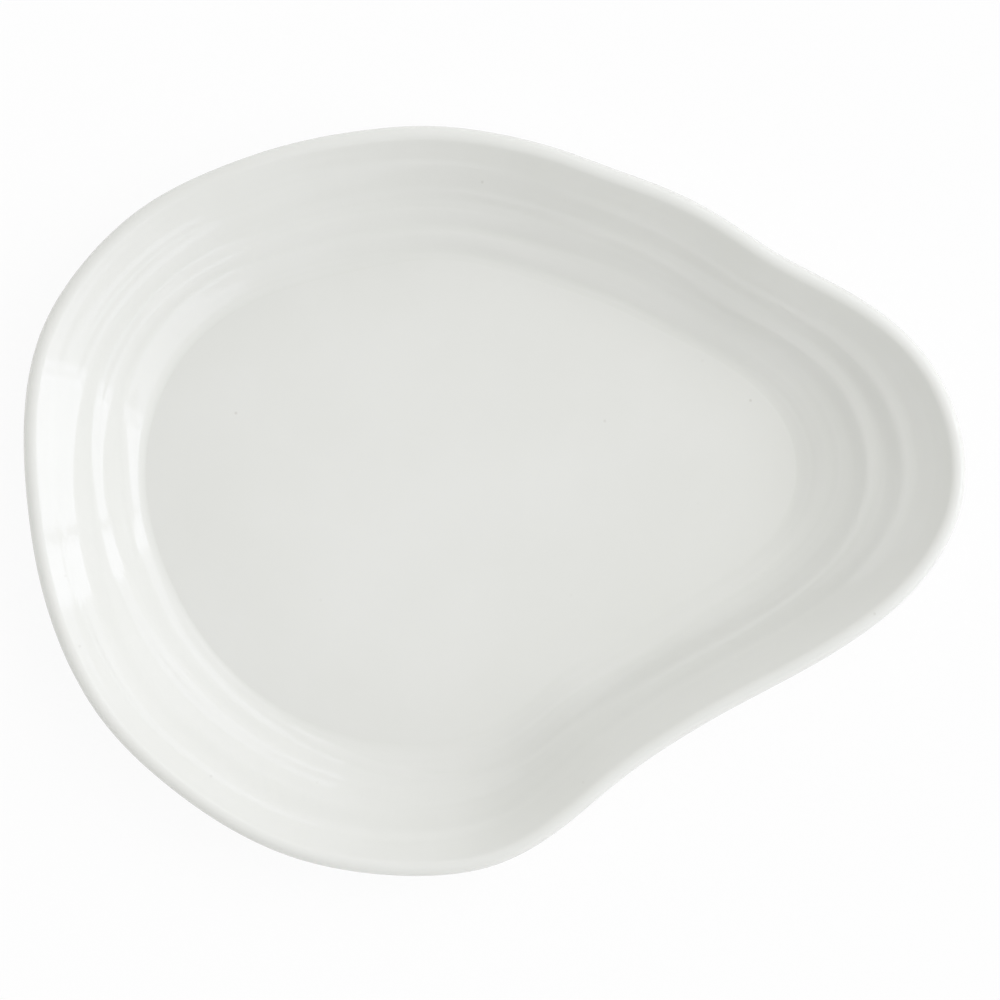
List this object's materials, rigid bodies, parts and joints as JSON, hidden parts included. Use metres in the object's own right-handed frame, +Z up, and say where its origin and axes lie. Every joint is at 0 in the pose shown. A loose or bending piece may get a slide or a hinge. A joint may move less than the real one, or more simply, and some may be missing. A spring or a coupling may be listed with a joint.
{
  "type": "oyster plate",
  "caption": "Shallow free-form porcelain serving plate shaped like an oyster shell, with a flat well, a sloping ringed wall, a rounded lip and a foot ring.",
  "frame": {"origin": "on the table, below the middle of the plate's outline", "axes": "+X along the plate's length to its narrow end, +Y across its width, +Z up out of the well"},
  "size_m": [0.28, 0.223, 0.036],
  "materials": {
    "bisque_porcelain": "matt, fine-grained, bare where the foot stands on the table",
    "white_glaze": "smooth glossy off-white glaze"
  },
  "bodies": {
    "root": {"porcelain_body": "bisque_porcelain", "face_glaze": "white_glaze", "base_glaze": "white_glaze"}
  },
  "joints": []
}
